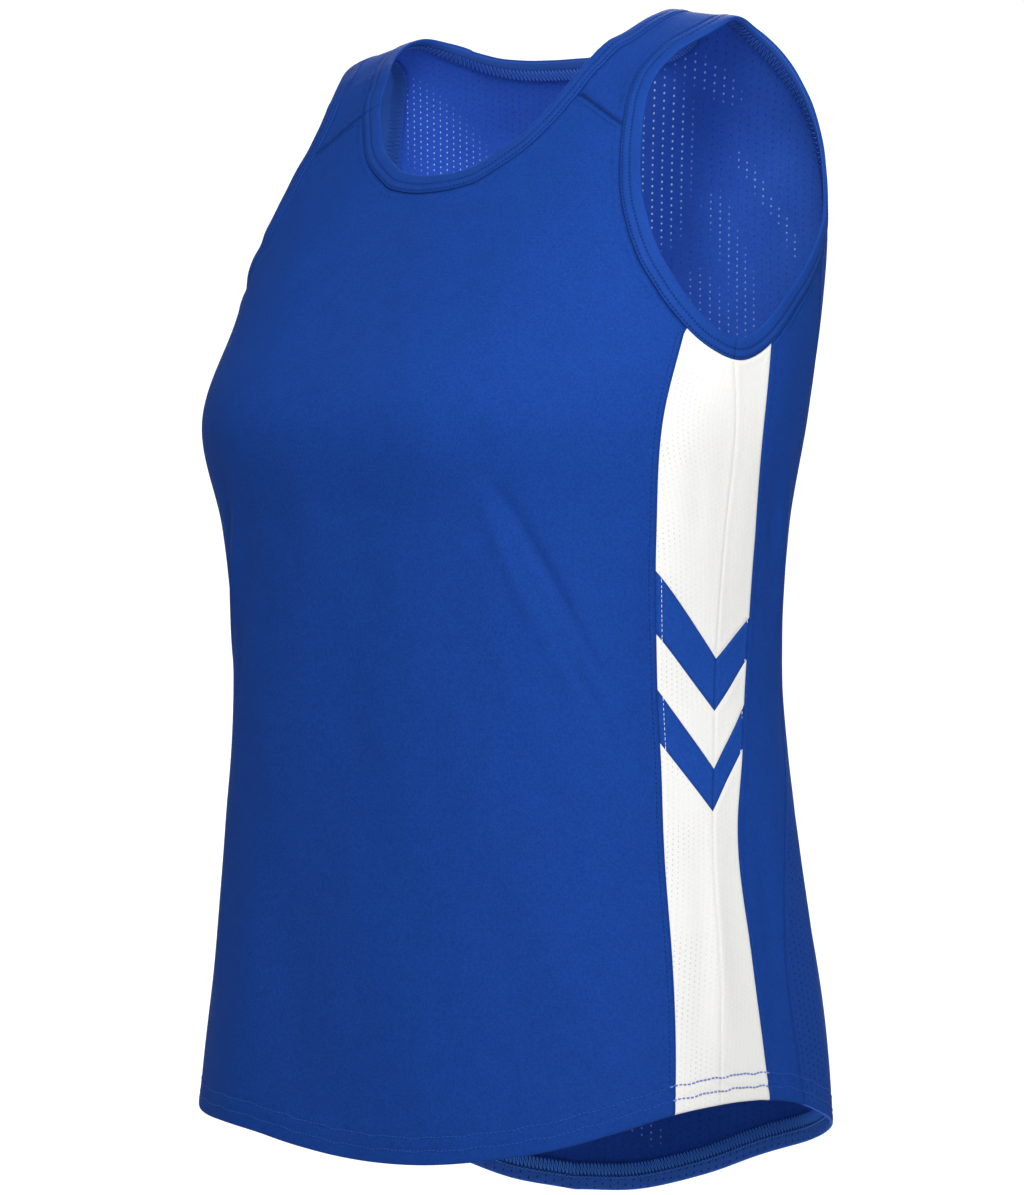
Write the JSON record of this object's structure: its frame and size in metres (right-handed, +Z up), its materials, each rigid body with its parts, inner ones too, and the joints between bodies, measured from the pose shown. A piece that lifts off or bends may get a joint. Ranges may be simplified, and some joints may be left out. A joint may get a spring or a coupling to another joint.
{
  "type": "running singlet",
  "caption": "Sleeveless knit running top, worn shape with no wearer: open neck, armholes and hem, mesh back over the shoulders, pieced side inserts, bound edges and a dipped back hem.",
  "frame": {"origin": "halfway between the tops of the two shoulder straps, where the wearer's shoulders carry the top", "axes": "+Z up along the wearer, -Y out of the front, +X to the wearer's left"},
  "size_m": [0.3435, 0.249, 0.6164],
  "materials": {
    "blue_knit": "smooth fine interlock knit, soft sheen",
    "blue_mesh": "matt eyelet mesh knit",
    "white_mesh": "matt eyelet mesh knit",
    "blue_binding": "folded knit binding, soft sheen, topstitched"
  },
  "bodies": {
    "root": {"front_panel": "blue_knit", "back_panel": "blue_mesh", "side_back_left": "blue_knit", "side_back_right": "blue_knit", "insert_front_left_white_top": "white_mesh", "insert_front_left_blue_upper": "blue_knit", "insert_front_left_white_middle": "white_mesh", "insert_front_left_blue_lower": "blue_knit", "insert_front_left_white_bottom": "white_mesh", "insert_back_left_white_top": "white_mesh", "insert_back_left_blue_upper": "blue_knit", "insert_back_left_white_middle": "white_mesh", "insert_back_left_blue_lower": "blue_knit", "insert_back_left_white_bottom": "white_mesh", "insert_front_right_white_top": "white_mesh", "insert_front_right_blue_upper": "blue_knit", "insert_front_right_white_middle": "white_mesh", "insert_front_right_blue_lower": "blue_knit", "insert_front_right_white_bottom": "white_mesh", "insert_back_right_white_top": "white_mesh", "insert_back_right_blue_upper": "blue_knit", "insert_back_right_white_middle": "white_mesh", "insert_back_right_blue_lower": "blue_knit", "insert_back_right_white_bottom": "white_mesh", "neck_binding": "blue_binding", "arm_binding_left": "blue_binding", "arm_binding_right": "blue_binding"}
  },
  "joints": []
}
